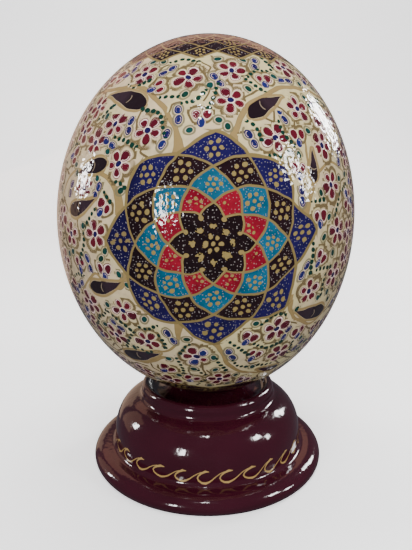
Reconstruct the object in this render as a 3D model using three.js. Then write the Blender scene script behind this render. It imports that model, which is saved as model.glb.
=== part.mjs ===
// A painted ostrich egg resting in its turned and lacquered wooden stand.
// Millimetres, +Z up. The origin is the middle of the stand's foot, on the
// surface that the stand stands on; the painted front faces -Y.

import * as THREE from 'three';

// ---------------------------------------------------------------- dimensions

// The egg: a blown ostrich egg, blunt end up.
const EGG_RADIUS = 62.5;
const EGG_HALF_LENGTH = 75;
const EGG_CENTRE_Z = 108.9;
const EGG_BOW = -1.15;          // the long axis bows to -X by this at mid height
const EGG_TIP = 0.8;            // and the blunt end leans to +X by this

// The stand, from the foot up: flange, cove, dome, groove, lip, dish, seat.
const FLANGE_RADIUS = 52.5;
const FLANGE_EDGE_Z = 2.8;
const FLANGE_EDGE_WIDTH = 6;
const FLANGE_EDGE_HEIGHT = 4.4;
const COVE_RADIUS = 1.6;
const COVE_UNDERCUT = 0.4;      // the dome's foot draws in this much under its widest ring
const DOME_RADIUS = 42.8;
const DOME_Z = 10.8;
const DOME_TOP_RADIUS = 27.2;
const DOME_TOP_Z = 29.6;
const DOME_FULLNESS = 0.86;     // below 1 the dome's section is squarer than an ellipse
const LIP_OUTER_RADIUS = 30.3;
const LIP_INNER_RADIUS = 26.1;
const LIP_TOP_Z = 35.4;
const LIP_HALF_HEIGHT = 2.9;
const GROOVE_DEPTH = 0.5;
const DISH_FLOOR_RADIUS = 23.6;
const DISH_FLOOR_Z = 32.3;
const SEAT_RADIUS = 13.2;
const SEAT_GAP = 0.35;          // air between the egg and the seat that it rests in

const EGG_FACETS = 72;
const EGG_ROWS = 32;
const STAND_FACETS = 60;

// ------------------------------------------------------------------- helpers

// Points of an elliptical arc in the (radius, height) plane, angles in degrees
// from the outward direction, turning upwards.
function arc(centreRadius, centreZ, width, height, fromDegrees, toDegrees, steps) {
  const points = [];
  for (let i = 0; i <= steps; i += 1) {
    const angle = THREE.MathUtils.degToRad(fromDegrees + ((toDegrees - fromDegrees) * i) / steps);
    points.push(new THREE.Vector2(
      centreRadius + width * Math.cos(angle),
      centreZ + height * Math.sin(angle),
    ));
  }
  return points;
}

// Height of the egg's underside at a distance from its axis.
function eggUndersideZ(radius) {
  return EGG_CENTRE_Z - EGG_HALF_LENGTH * Math.sqrt(1 - (radius / EGG_RADIUS) ** 2);
}

// A solid turned about the Z axis from a profile of (radius, height) points.
function turned(profile, facets) {
  const geometry = new THREE.LatheGeometry(profile, facets);
  geometry.rotateX(Math.PI / 2);
  return geometry;
}

// ----------------------------------------------------------------------- egg

function eggGeometry() {
  const profile = [];
  for (let row = 0; row <= EGG_ROWS; row += 1) {
    const latitude = Math.PI * (row / EGG_ROWS - 0.5);
    const atPole = row === 0 || row === EGG_ROWS;
    profile.push(new THREE.Vector2(
      atPole ? 0 : EGG_RADIUS * Math.cos(latitude),
      EGG_CENTRE_Z + EGG_HALF_LENGTH * Math.sin(latitude),
    ));
  }
  const geometry = turned(profile, EGG_FACETS);
  const position = geometry.attributes.position;
  for (let i = 0; i < position.count; i += 1) {
    const height = (position.getZ(i) - EGG_CENTRE_Z) / EGG_HALF_LENGTH;
    const side = EGG_BOW * (1 - height ** 2) + (EGG_TIP * (1 + height)) / 2;
    position.setX(i, position.getX(i) + side);
  }
  geometry.computeVertexNormals();
  return geometry;
}

// --------------------------------------------------------------------- stand

// The dome's shoulder, from its widest ring up to the groove under the lip.
function domeShoulder(steps) {
  const reach = (LIP_OUTER_RADIUS - DOME_TOP_RADIUS) / (DOME_RADIUS - DOME_TOP_RADIUS);
  const lastAngle = Math.acos(reach ** (1 / DOME_FULLNESS));
  const points = [];
  for (let i = 0; i <= steps; i += 1) {
    const angle = (lastAngle * i) / steps;
    points.push(new THREE.Vector2(
      DOME_TOP_RADIUS + (DOME_RADIUS - DOME_TOP_RADIUS) * Math.cos(angle) ** DOME_FULLNESS,
      DOME_Z + (DOME_TOP_Z - DOME_Z) * Math.sin(angle) ** DOME_FULLNESS,
    ));
  }
  return points;
}

// Inside the lip the dish rises softly from its floor to the crest of the seat.
function dish(steps) {
  const crestZ = eggUndersideZ(SEAT_RADIUS) - SEAT_GAP;
  const points = [];
  for (let i = 0; i <= steps; i += 1) {
    const rise = (1 - Math.cos((Math.PI * i) / steps)) / 2;
    points.push(new THREE.Vector2(
      THREE.MathUtils.lerp(DISH_FLOOR_RADIUS, SEAT_RADIUS, i / steps),
      THREE.MathUtils.lerp(DISH_FLOOR_Z, crestZ, rise),
    ));
  }
  return points;
}

// The hollow of the seat follows the egg's underside to the axis.
function seat(steps) {
  const points = [];
  for (let i = 1; i <= steps; i += 1) {
    const radius = SEAT_RADIUS * (1 - i / steps);
    points.push(new THREE.Vector2(radius, eggUndersideZ(radius) - SEAT_GAP));
  }
  return points;
}

function standGeometry() {
  const edgeCentre = FLANGE_RADIUS - FLANGE_EDGE_WIDTH;
  const flangeTop = FLANGE_EDGE_Z + FLANGE_EDGE_HEIGHT;
  const footAngle = THREE.MathUtils.radToDeg(Math.asin(FLANGE_EDGE_Z / FLANGE_EDGE_HEIGHT));
  const coveCentre = DOME_RADIUS - COVE_UNDERCUT + COVE_RADIUS;
  const lipCentre = (LIP_OUTER_RADIUS + LIP_INNER_RADIUS) / 2;
  const lipHalfWidth = (LIP_OUTER_RADIUS - LIP_INNER_RADIUS) / 2;
  const lipCentreZ = LIP_TOP_Z - LIP_HALF_HEIGHT;

  const profile = [
    new THREE.Vector2(0, 0),
    ...arc(edgeCentre, FLANGE_EDGE_Z, FLANGE_EDGE_WIDTH, FLANGE_EDGE_HEIGHT, -footAngle, 0, 2),
    ...arc(edgeCentre, FLANGE_EDGE_Z, FLANGE_EDGE_WIDTH, FLANGE_EDGE_HEIGHT, 20, 90, 4),
    ...arc(coveCentre, flangeTop + COVE_RADIUS, COVE_RADIUS, COVE_RADIUS, -90, -180, 2),
    ...domeShoulder(9),
    new THREE.Vector2(LIP_OUTER_RADIUS - GROOVE_DEPTH, lipCentreZ - 0.7 * LIP_HALF_HEIGHT),
    ...arc(lipCentre, lipCentreZ, lipHalfWidth, LIP_HALF_HEIGHT, -20, 180, 8),
    ...dish(4),
    ...seat(3),
  ];
  return turned(profile, STAND_FACETS);
}

// -------------------------------------------------------------------- object

const eggMaterial = new THREE.MeshStandardMaterial({
  color: 0xc6b9a8, roughness: 0.25, metalness: 0,
});
const standMaterial = new THREE.MeshStandardMaterial({
  color: 0x300a14, roughness: 0.12, metalness: 0,
});

const egg = new THREE.Mesh(eggGeometry(), eggMaterial);
egg.name = 'egg';

const stand = new THREE.Mesh(standGeometry(), standMaterial);
stand.name = 'stand';

const object = new THREE.Group();
object.add(stand, egg);

export default object;
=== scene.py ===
import math
import random

import bmesh
import bpy
import numpy as np
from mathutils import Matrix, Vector
from mathutils.kdtree import KDTree


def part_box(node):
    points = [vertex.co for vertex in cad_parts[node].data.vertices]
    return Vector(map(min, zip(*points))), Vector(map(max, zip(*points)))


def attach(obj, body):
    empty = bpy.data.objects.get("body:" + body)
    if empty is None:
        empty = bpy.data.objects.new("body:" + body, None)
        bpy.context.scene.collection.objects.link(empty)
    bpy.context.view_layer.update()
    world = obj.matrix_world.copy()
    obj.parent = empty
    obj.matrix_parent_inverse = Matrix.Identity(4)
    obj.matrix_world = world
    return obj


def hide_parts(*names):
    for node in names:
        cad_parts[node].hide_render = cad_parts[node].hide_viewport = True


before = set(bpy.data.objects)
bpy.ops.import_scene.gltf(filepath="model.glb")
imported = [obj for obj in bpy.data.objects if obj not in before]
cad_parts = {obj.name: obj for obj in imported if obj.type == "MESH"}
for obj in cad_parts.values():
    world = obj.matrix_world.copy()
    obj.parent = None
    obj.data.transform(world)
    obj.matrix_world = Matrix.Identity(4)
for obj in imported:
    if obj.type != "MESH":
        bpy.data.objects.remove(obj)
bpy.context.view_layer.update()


# ---------------------------------------------------------------- the table and its light
# A pale seamless sheet lies under the object and sweeps up behind it. Two big soft panels
# overhead give the plain light, and a few small lamps give the varnish its glints.

sheet_half_width = 2.0
sheet_front_y = -1.2
sweep_start_y = 0.7
sweep_radius = 0.5
sweep_steps = 12
sheet_top_z = 2.0


def made_of(shape, name):
    """A smooth object of a finished shape, and its mesh."""
    for face in shape.faces:
        face.smooth = True
    mesh = bpy.data.meshes.new(name)
    shape.to_mesh(mesh)
    shape.free()
    thing = bpy.data.objects.new(name, mesh)
    bpy.context.collection.objects.link(thing)
    return thing, mesh


def coat(mesh, name):
    """A new material on a mesh, and the shader in it."""
    material = bpy.data.materials.new(name)
    material.use_nodes = True
    mesh.materials.append(material)
    return material, material.node_tree.nodes["Principled BSDF"]


sheet_bmesh = bmesh.new()
sheet_line = [(sheet_front_y, 0.0), (sweep_start_y, 0.0)]
for i in range(1, sweep_steps + 1):
    angle = math.pi / 2 * i / sweep_steps
    sheet_line.append((sweep_start_y + sweep_radius * math.sin(angle),
                       sweep_radius * (1 - math.cos(angle))))
sheet_line.append((sweep_start_y + sweep_radius, sheet_top_z))
sheet_verts = [sheet_bmesh.verts.new((-sheet_half_width, y, z)) for y, z in sheet_line]
sheet_edges = [sheet_bmesh.edges.new(pair) for pair in zip(sheet_verts, sheet_verts[1:])]
drawn_out = bmesh.ops.extrude_edge_only(sheet_bmesh, edges=sheet_edges)
drawn_verts = [item for item in drawn_out["geom"] if isinstance(item, bmesh.types.BMVert)]
bmesh.ops.translate(sheet_bmesh, vec=(2 * sheet_half_width, 0, 0), verts=drawn_verts)
table_sheet, sheet_mesh = made_of(sheet_bmesh, "table_sheet")
table_sheet.visible_glossy = False
table_sheet.visible_diffuse = False

sheet_paper, sheet_shader = coat(sheet_mesh, "pale sheet")
sheet_shader.inputs["Base Color"].default_value = (0.88, 0.88, 0.88, 1.0)
sheet_shader.inputs["Roughness"].default_value = 0.9
sheet_shader.inputs["Emission Color"].default_value = (1.0, 1.0, 1.0, 1.0)
sheet_shader.inputs["Emission Strength"].default_value = 0.7

studio = bpy.data.worlds.new("studio air")
studio.use_nodes = True
studio.node_tree.nodes["Background"].inputs["Color"].default_value = (0.88, 0.86, 1.0, 1.0)
studio.node_tree.nodes["Background"].inputs["Strength"].default_value = 0.14
bpy.context.scene.world = studio


def panel(name, place, aim, width, height, watts, mirrored, colour=(1.0, 1.0, 1.0)):
    """A rectangular soft light at `place`, facing `aim`. The varnish shows it if mirrored."""
    light = bpy.data.lights.new(name, "AREA")
    light.shape = "RECTANGLE"
    light.size = width
    light.size_y = height
    light.energy = watts
    light.color = colour
    lamp = bpy.data.objects.new(name, light)
    lamp.location = place
    lamp.rotation_euler = (Vector(aim) - Vector(place)).to_track_quat("-Z", "Y").to_euler()
    lamp.visible_glossy = mirrored
    bpy.context.collection.objects.link(lamp)


object_middle = (0.0, 0.0, 0.1)
panel("key panel", (-0.1, -0.95, 1.15), object_middle, 0.9, 0.7, 14.0, mirrored=False)
panel("top panel", (0.0, 0.15, 1.3), object_middle, 1.0, 0.8, 3.8, mirrored=False)
panel("left fill", (-1.2, -0.6, 0.5), object_middle, 0.8, 0.8, 0.5, mirrored=False)
panel("right fill", (1.2, -0.6, 0.5), object_middle, 0.8, 0.8, 0.7, mirrored=False)
panel("bounce card", (0.0, -0.6, 0.03), object_middle, 0.5, 0.3, 3.3, mirrored=False,
      colour=(0.86, 0.94, 1.0))
panel("sweep panel", (0.0, 0.25, 1.5), (0.0, 1.2, 0.5), 1.6, 0.4, 30.0, mirrored=False)
panel("left lamp", (-0.5, -0.92, 0.26), object_middle, 0.12, 0.26, 4.6, mirrored=True)
panel("right lamp", (0.86, -0.36, 0.56), object_middle, 0.16, 0.2, 4.2, mirrored=True)
panel("low right lamp", (0.97, -0.2, 0.36), object_middle, 0.1, 0.14, 1.6, mirrored=True)
panel("right rim lamp", (0.72, 0.56, 0.5), object_middle, 0.2, 0.3, 6.0, mirrored=True)
panel("warm left wall", (-0.95, 0.45, 0.35), object_middle, 0.5, 0.8, 0.75, mirrored=True,
      colour=(1.0, 0.62, 0.38))
panel("warm far wall", (-0.5, 0.95, 0.1), object_middle, 0.6, 0.7, 1.05, mirrored=True,
      colour=(1.0, 0.66, 0.42))
panel("warm back wall", (-0.2, 1.0, 0.85), object_middle, 1.3, 0.5, 1.7, mirrored=True,
      colour=(1.0, 0.48, 0.3))
panel("left rim lamp", (-0.98, 0.22, 0.33), object_middle, 0.1, 0.2, 2.6, mirrored=True)
panel("top lamp", (-0.04, -0.45, 1.07), object_middle, 0.06, 0.06, 1.0, mirrored=True)

# The camera looks slightly down at the painted front.
camera_height_over_egg = 0.0308
camera_distance = 0.2404
camera_x = -0.0006
camera_pitch = math.radians(12.93)
focal_length_px = 555.0
picture_height_px = 550
egg_low, egg_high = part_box("egg")
egg_centre_z = (egg_low[2] + egg_high[2]) / 2

lens = bpy.data.cameras.new("front camera")
lens.sensor_width = 36.0
lens.lens = focal_length_px / picture_height_px * lens.sensor_width
lens.clip_start = 0.01
camera = bpy.data.objects.new("front camera", lens)
camera.location = (camera_x, -camera_distance, egg_centre_z + camera_height_over_egg)
camera.rotation_euler = (math.pi / 2 - camera_pitch, 0.0, 0.0)
bpy.context.collection.objects.link(camera)
bpy.context.scene.camera = camera


# ------------------------------------------------------------------------------- the egg
# A blown ostrich egg, one natural piece, painted by hand in gouache and gold on a cream
# ground and finished with clear gloss varnish. It rests in the stand under its own weight.

egg_radius = (egg_high[1] - egg_low[1]) / 2
egg_half_length = (egg_high[2] - egg_low[2]) / 2
egg_bow = -0.00115
egg_tip = 0.0008
egg_segments = 384
egg_rings = 216
mm = 0.001

egg_bmesh = bmesh.new()
bmesh.ops.create_uvsphere(egg_bmesh, u_segments=egg_segments, v_segments=egg_rings, radius=1.0)
bmesh.ops.scale(egg_bmesh, vec=(egg_radius, egg_radius, egg_half_length), verts=egg_bmesh.verts)
bmesh.ops.recalc_face_normals(egg_bmesh, faces=egg_bmesh.faces)
painted_egg, egg_mesh = made_of(egg_bmesh, "painted_egg")

RADIUS_MM = egg_radius / mm
HALF_LENGTH_MM = egg_half_length / mm


def egg_place(azimuth, latitude):
    """The point of the egg's surface at an azimuth (0 in front, growing to +X) and a
    latitude, both in degrees, with the directions east and north along the surface there."""
    a, l = math.radians(azimuth), math.radians(latitude)
    point = np.array([RADIUS_MM * math.cos(l) * math.sin(a),
                      -RADIUS_MM * math.cos(l) * math.cos(a),
                      HALF_LENGTH_MM * math.sin(l)])
    east = np.array([math.cos(a), math.sin(a), 0.0])
    north = np.array([-RADIUS_MM * math.sin(l) * math.sin(a),
                      RADIUS_MM * math.sin(l) * math.cos(a),
                      HALF_LENGTH_MM * math.cos(l)])
    return point, east, north / np.linalg.norm(north)


# Medallions: azimuth, latitude, turn in degrees, reach of the tips east and north in
# degrees, and number of petals, negative on the two ends.
medallions = [
    (2.2, 0.3, 1.1, 35.2, 28.4, 8),
    (178.0, 0.3, -1.1, 35.2, 28.4, 8),
    (0.0, 90.0, -5.5, 35.5, 35.5, -16),
    (0.0, -90.0, 20.0, 36.0, 36.0, -8),
]
# Where the hand strayed from the true pattern: a place in it, how far the place moved, and
# how wide a patch moved with it. All are east and north of the centre, with the tips at 1.
strays = [((-0.69, 0.76), (0.04, -0.04), 0.07), ((-0.68, -0.7), (0.03, 0.03), 0.07),
          ((0.02, 1.0), (0.03, 0.0), 0.16), ((0.62, 0.7), (-0.05, -0.04), 0.16),
          ((1.0, 0.06), (0.02, 0.06), 0.16), ((0.8, 0.36), (-0.03, 0.0), 0.16),
          ((0.81, -0.3), (-0.01, 0.06), 0.16), ((0.02, -1.0), (0.0, -0.05), 0.16),
          ((-0.32, 0.78), (0.03, 0.01), 0.16), ((-0.7, 0.72), (0.02, 0.06), 0.16)]


def medallion_places(points, medallion):
    """Flat coordinates of surface points in a medallion whose petal tips are at 1."""
    azimuth, latitude, turn, reach_east, reach_north, petals = medallion
    a, l, t = math.radians(azimuth), math.radians(latitude), math.radians(turn)
    centre = np.array([math.cos(l) * math.sin(a), -math.cos(l) * math.cos(a), math.sin(l)])
    east = np.array([math.cos(a), math.sin(a), 0.0])
    north = np.cross(centre, east)
    ball = points / np.array([RADIUS_MM, RADIUS_MM, HALF_LENGTH_MM])
    ball /= np.linalg.norm(ball, axis=-1, keepdims=True)
    along_east, along_north = ball @ east, ball @ north
    away = np.degrees(np.arccos(np.clip(ball @ centre, -1, 1)))
    flat = np.maximum(np.hypot(along_east, along_north), 1e-9)
    x = away * along_east / flat / reach_east
    y = away * along_north / flat / reach_north
    if petals > 0:
        for (at_x, at_y), (shift_x, shift_y), patch in strays:
            share = np.exp(-((x - at_x) ** 2 + (y - at_y) ** 2) / (2 * patch ** 2))
            x, y = x - shift_x * share, y - shift_y * share
    return np.stack([x * math.cos(t) + y * math.sin(t), y * math.cos(t) - x * math.sin(t)], -1)


# The painted ground: each kind of motif, with its half length, half width and the angle
# between its own axis and east. Places are (azimuth, latitude) in degrees.
FLOWER, HALF_FLOWER, BUDS, BERRY, LEAF = 1, 2, 3, 4, 5
VINE, DOTS, CURL = 1, 2, 3
half_sizes = {FLOWER: (7.3, 7.3), HALF_FLOWER: (5.8, 5.5), BUDS: (5.2, 3.3), BERRY: (2.8, 2.8)}
leaf_shortest, leaf_growth = 4.0, 7.0     # half lengths, at seed 0 and added at seed 1
leaf_edge = 1.3                           # how far the footprint passes the leaf
room_needed = {FLOWER: 4.7, HALF_FLOWER: 3.3, BUDS: 2.0, BERRY: 1.3, LEAF: 3.2}

front_flowers = [
    (-32, 48), (-9, 46), (11, 49), (-36, 31), (-21, 29), (9, 38), (38, 36), (24, 27), (45, 52),
    (-30, 20), (-45, 13), (-38, 1), (-52, 0), (-30, -20), (-23, -30), (-47, -20), (-38, -30),
    (-21, -52), (38, -15), (51, -12), (27, -26), (33, -37), (7, -48), (47, 14), (50, 1), (46, 25),
]
front_mixed_flowers = [(-4, -35), (-54, -26), (60, 9)]
plain_seeds = (0.1, 0.84)
mixed_flower_seed = 0.88
# Half flowers: the blue bud, then the middle between its two petals.
front_half_flowers = [
    ((-24, 42), (-21, 43)), ((-2, 31), (-2, 34)), ((26, 44), (26, 46)), ((34, 26), (34, 28)),
    ((-36, 7), (-34, 9)), ((-35, -10), (-35, -8)), ((-48, -10), (-48, -7)), ((40, -7), (42, -5)),
    ((15, -30), (17, -27)), ((20, -37), (21, -35)), ((40, -31), (39, -28)), ((32, 17), (32, 19)),
    ((40, 4), (40, 6)), ((-21, -44), (-18, -42)), ((-9, -50), (-7, -47)), ((20, -53), (22, -50)),
]
# Blue buds in pairs: one bud, then the other.
front_buds = [
    ((-22, 48), (-18, 50)), ((-11, 35), (-10, 32)), ((-29, 32), (-29, 29)), ((-14, 28), (-15, 25)),
    ((-38, 26), (-35, 25)), ((26, 54), (24, 51)), ((36, 46), (41, 46)), ((28, 35), (30, 32)),
    ((14, 28), (16, 25)), ((-37, 14), (-39, 11)), ((-53, 14), (-54, 11)), ((-43, -6), (-42, -9)),
    ((-37, -25), (-34, -27)), ((-14, -26), (-12, -29)), ((35, -7), (33, -10)), ((33, -27), (32, -30)),
    ((47, -34), (43, -38)), ((32, 13), (32, 10)), ((9, -33), (11, -36)), ((-9, -56), (-15, -59)),
]
front_berries = [
    (1, 43), (-6, 29), (-41, 37), (-36, 23), (17, 42), (19, 54), (46, 40), (40, 29), (29, 23),
    (7, 30), (-28, 13), (-44, 3), (-34, -3), (-29, -9), (-26, -12), (-55, -6), (-51, 17),
    (-37, -19), (-22, -22), (-43, -27), (-7, -28), (-31, -34), (-16, -37), (-14, -46), (48, -5),
    (44, -18), (34, -20), (18, -23), (22, -42), (42, 0), (41, 12), (4, -42), (15, -46), (5, 54),
]
# Leaves: the pointed end, the round one, and how far the point curls to the left.
front_leaves = [
    ((-49, 43), (-23, 36), -0.05), ((31, 41), (15, 33), 0.08), ((-38, 9), (-53, 6.5), -0.16),
    ((-51, 18), (-35, 20), -0.1), ((-28, -13), (-44, -14.5), -0.16), ((-18, -36), (-40, -39), -0.05),
    ((33, -23), (52, -23), 0.16), ((25, -45), (40, -46), 0.05), ((39, 24), (38, 15), 0.04),
]
# Vines, each drawn from its free tip to the foot where it springs from a medallion.
front_vines = [
    [(-90, 33), (-76, 39), (-64, 42), (-48, 43), (-31, 43), (-20, 38), (-13, 32), (-10, 28), (-9, 22)],
    [(90, 33), (76, 38), (64, 41), (50, 43), (34, 43), (22, 39), (15, 36), (11, 31), (9, 27), (9, 22)],
    [(-61, 9), (-59, 13), (-56, 16), (-50, 18), (-40, 18), (-32, 15), (-29, 11), (-28, 8)],
    [(-50, 12), (-39, 10), (-36, 14)],
    [(-48, -15), (-40, -10), (-36, -12), (-30, -13), (-27, -10)],
    [(56, -20), (53, -24), (47, -27), (41, -26), (34, -23), (31, -20), (30, -16)],
    [(50, -42), (36, -47), (24, -46), (15, -43), (9, -38), (6, -33), (3, -29)],
    [(-22, -34), (-15, -33), (-11, -30), (-10, -26), (-9, -22)],
    [(56, 18), (50, 20), (44, 19), (40, 17), (37, 13), (35, 10), (33, 7)],
    [(37, 27), (36, 21), (36, 17), (37, 14)],
    [(-62, -30), (-52, -36), (-41, -40), (-30, -41), (-20, -37)],
]
# Strings of dots: three places along each, the smallest dot first.
front_dots = [
    [(-38, 44), (-34, 43), (-28, 45)], [(-9, 37), (-5, 38), (-1, 41)], [(-18, 39), (-15, 39), (-13, 39)],
    [(-15, 29), (-18, 34), (-24, 35)], [(-33, 27), (-29, 26), (-26, 25)], [(-19, 53), (-13, 54), (-7, 53)],
    [(18, 45), (21, 43), (24, 41)], [(33, 60), (32, 56), (34, 53)], [(15, 31), (17, 30), (18, 28)],
    [(27, 31), (28, 28), (30, 26)], [(22, 22), (24, 22), (27, 21)], [(-31, 15), (-29, 15), (-27, 14)],
    [(-35, 13), (-34, 12), (-33, 11)], [(-39, 7), (-41, 5), (-42, 4)], [(-44, 0), (-44, -2), (-46, -5)],
    [(-37, -22), (-32, -25), (-29, -27)], [(-29, -28), (-32, -31), (-35, -34)],
    [(-28, -34), (-25, -35), (-22, -34)], [(-17, -28), (-16, -30), (-16, -32)],
    [(-12, -37), (-11, -40), (-11, -43)], [(-3, -43), (-2, -44), (0, -45)], [(37, 1), (37, -4), (37, -8)],
    [(41, -9), (43, -9), (46, -9)], [(21, -23), (24, -21), (28, -21)], [(20, -31), (25, -33), (30, -32)],
    [(10, -30), (13, -32), (16, -34)], [(12, -38), (14, -40), (17, -41)], [(37, 10), (40, 10), (42, 10)],
    [(5, -37), (6, -39), (8, -41)],
]

spots = []      # (kind, point, axis, across, seed, curl)
lines = []      # (kind, points along it in order)
brush = random.Random(24)
mm_per_degree_east, mm_per_degree_north = 1.1, 1.3      # roughly, at the middle


def add_spot(kind, place, towards=None, seed=None, curl=0.0):
    point, east, north = egg_place(*place)
    if towards is None:
        turn = brush.uniform(0, 2 * math.pi)
    else:
        way = egg_place(*towards)[0] - point
        turn = math.atan2(way @ north, way @ east)
    axis = math.cos(turn) * east + math.sin(turn) * north
    across = math.cos(turn) * north - math.sin(turn) * east
    if seed is None:
        seed = brush.uniform(*plain_seeds)
    spots.append((kind, point, axis, across, seed, curl))


def middle(first, second):
    return (first[0] + second[0]) / 2, (first[1] + second[1]) / 2


def stroke(places, spacing=0.5):
    """A smooth brush stroke through the places, as surface points a spacing apart."""
    ends = [places[0]] + list(places) + [places[-1]]
    fine = []
    for before, start, end, after in zip(ends, ends[1:], ends[2:], ends[3:]):
        run = (end[0] - start[0]) * mm_per_degree_east
        rise = (end[1] - start[1]) * mm_per_degree_north
        steps = max(2, int(math.hypot(run, rise) / spacing))
        for i in range(steps):
            t = i / steps
            fine.append(egg_place(*[
                0.5 * (2 * start[k] + (end[k] - before[k]) * t
                       + (2 * before[k] - 5 * start[k] + 4 * end[k] - after[k]) * t * t
                       + (3 * start[k] - before[k] - 3 * end[k] + after[k]) * t ** 3)
                for k in (0, 1)])[0])
    fine.append(egg_place(*places[-1])[0])
    return np.array(fine)


for behind in (False, True):
    def laid(place):
        """The same layout in front, and mirrored behind."""
        return (180 - place[0], place[1]) if behind else place

    for place in front_flowers:
        add_spot(FLOWER, laid(place))
    for place in front_mixed_flowers:
        add_spot(FLOWER, laid(place), seed=mixed_flower_seed)
    for bud, petals in front_half_flowers:
        add_spot(HALF_FLOWER, laid(middle(bud, petals)), laid(petals))
    for first, second in front_buds:
        add_spot(BUDS, laid(middle(first, second)), laid(second))
    for place in front_berries:
        add_spot(BERRY, laid(place))
    for point_end, round_end, curl in front_leaves:
        length = np.linalg.norm(egg_place(*point_end)[0] - egg_place(*round_end)[0])
        growth = (length / 2 - leaf_shortest) / leaf_growth
        add_spot(LEAF, laid(middle(point_end, round_end)), laid(round_end), min(max(growth, 0.1), 0.9),
                 curl=-curl if behind else curl)
    for places in front_vines:
        lines.append((VINE, stroke([laid(p) for p in places])))
    for places in front_dots:
        lines.append((DOTS, stroke([laid(p) for p in places])))

# The sides, and every gap left, are filled by chance: the largest motifs first.
leaf_room, leaf_room_shifts = 2.6, (-6.0, -3.0, 3.0, 6.0)
line_room = 0.9
gap_between_motifs = 0.1
medallion_reach_mm = 40.0
highest_sine = 0.92     # of the latitude: nearer the ends is only cap
taken = [(spot[1], room_needed[spot[0]]) for spot in spots]
taken += [(spot[1] + spot[2] * shift, leaf_room) for spot in spots if spot[0] == LEAF
          for shift in leaf_room_shifts]
taken += [(point, line_room) for kind, points in lines for point in points[::3]]
taken_points = np.array([point for point, reach in taken])
taken_reach = np.array([reach for point, reach in taken])


def any_place():
    """A place picked at random, as likely in one spot as in another."""
    azimuth = brush.uniform(-180, 180)
    return azimuth, math.degrees(math.asin(brush.uniform(-highest_sine, highest_sine)))


def is_free(point, reach):
    for medallion in medallions:
        from_centre = np.hypot(*medallion_places(point[None], medallion)[0])
        if from_centre < 1.0 + (reach - 1.0) / medallion_reach_mm:
            return False
    room = np.linalg.norm(taken_points - point, axis=1) - taken_reach
    return room.min() > reach + gap_between_motifs


for kind, tries in ((FLOWER, 4000), (HALF_FLOWER, 4000), (BUDS, 900), (BERRY, 1500)):
    reach = room_needed[kind]
    for attempt in range(tries):
        place = any_place()
        point = egg_place(*place)[0]
        if is_free(point, reach):
            add_spot(kind, place)
            taken_points = np.vstack([taken_points, point])
            taken_reach = np.append(taken_reach, reach)

# Strings of dots and thin curls: (kind, tries, shortest, longest, strongest bend, room).
# Each has two halves, and degrees of azimuth count for less the nearer it is to an end.
least_squeeze = 0.3
north_over_east = 0.85
for kind, tries, shortest, longest, most_bend, room in (
        (DOTS, 2000, 3.5, 7.5, 0.6, 0.75), (CURL, 5000, 2.5, 6.0, 1.5, 0.35)):
    for attempt in range(tries):
        start = any_place()
        turn, bend = brush.uniform(0, 2 * math.pi), brush.uniform(-most_bend, most_bend)
        step = brush.uniform(shortest, longest) / (2 * mm_per_degree_east)
        places = [start]
        for half in (0, 1):
            squeeze = max(least_squeeze, math.cos(math.radians(places[-1][1])))
            places.append((places[-1][0] + math.cos(turn + bend * half) * step / squeeze,
                           places[-1][1] + math.sin(turn + bend * half) * step * north_over_east))
        if all(is_free(egg_place(*place)[0], room) for place in places):
            points = stroke(places)
            lines.append((kind, points))
            taken_points = np.vstack([taken_points, points[::3]])
            taken_reach = np.append(taken_reach, np.full(len(points[::3]), room))


def numbers(items, field):
    values = np.empty(len(items), dtype=np.int32)
    items.foreach_get(field, values)
    return values


def places_mm(items, field):
    values = np.empty(len(items) * 3)
    items.foreach_get(field, values)
    return values.reshape(-1, 3) / mm


# Every face of the shell takes the motif and the line that lie nearest to it. Its corners
# then carry their own places in that motif, flat and in millimetres, for the paint to use.
corner_count, face_count = len(egg_mesh.loops), len(egg_mesh.polygons)
shell_points = places_mm(egg_mesh.vertices, "co")
corner_vertex = numbers(egg_mesh.loops, "vertex_index")
corners_per_face = numbers(egg_mesh.polygons, "loop_total")
face_middles = places_mm(egg_mesh.polygons, "center")
corner_face = np.repeat(np.arange(face_count), corners_per_face)
corner_points = shell_points[corner_vertex]


def corner_attribute(mesh, name, values):
    layer = mesh.attributes.new(name, "FLOAT_VECTOR", "CORNER")
    layer.data.foreach_set("vector", np.ascontiguousarray(values, dtype=np.float32).ravel())


medallion_distance = np.stack([np.hypot(*medallion_places(face_middles, m).T) for m in medallions])
nearest_medallion = medallion_distance.argmin(axis=0)[corner_face]
medallion_values = np.zeros((corner_count, 3))
for index, medallion in enumerate(medallions):
    own = nearest_medallion == index
    medallion_values[own, :2] = medallion_places(corner_points[own], medallion)
    medallion_values[own, 2] = medallion[5]
corner_attribute(egg_mesh, "medallion", medallion_values)

far_off = 99.0              # the place of a face with no motif or line near it
farthest_motif = 13.0
leaf_goes_first = 0.6
leaf_slimness = 0.42
leaf_curl_start = 0.3       # how far along from the middle, as a share of the half length
spot_distance = np.full(face_count, 1.0)
nearest_spot = np.full(face_count, -1)
for index, (kind, point, axis, across, seed, curl) in enumerate(spots):
    away = face_middles - point
    near = np.nonzero(np.linalg.norm(away, axis=1) < farthest_motif)[0]
    if kind == LEAF:
        long_half = leaf_shortest + leaf_growth * seed + leaf_edge
        short_half = leaf_slimness * long_half + leaf_edge
        long_way = away[near] @ axis / long_half
        back = np.maximum(leaf_curl_start - long_way, 0.0)
        short_way = (away[near] @ across - curl * long_half * back ** 2) / short_half
        reach = np.hypot(long_way, short_way) * leaf_goes_first
    else:
        long_half, short_half = half_sizes[kind]
        reach = np.hypot(away[near] @ axis / long_half, away[near] @ across / short_half)
    better = reach < spot_distance[near]
    spot_distance[near[better]] = reach[better]
    nearest_spot[near[better]] = index
spot_values = np.zeros((corner_count, 3))
spot_values[:, 0] = far_off
own_spot = nearest_spot[corner_face]
painted = own_spot >= 0
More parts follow.
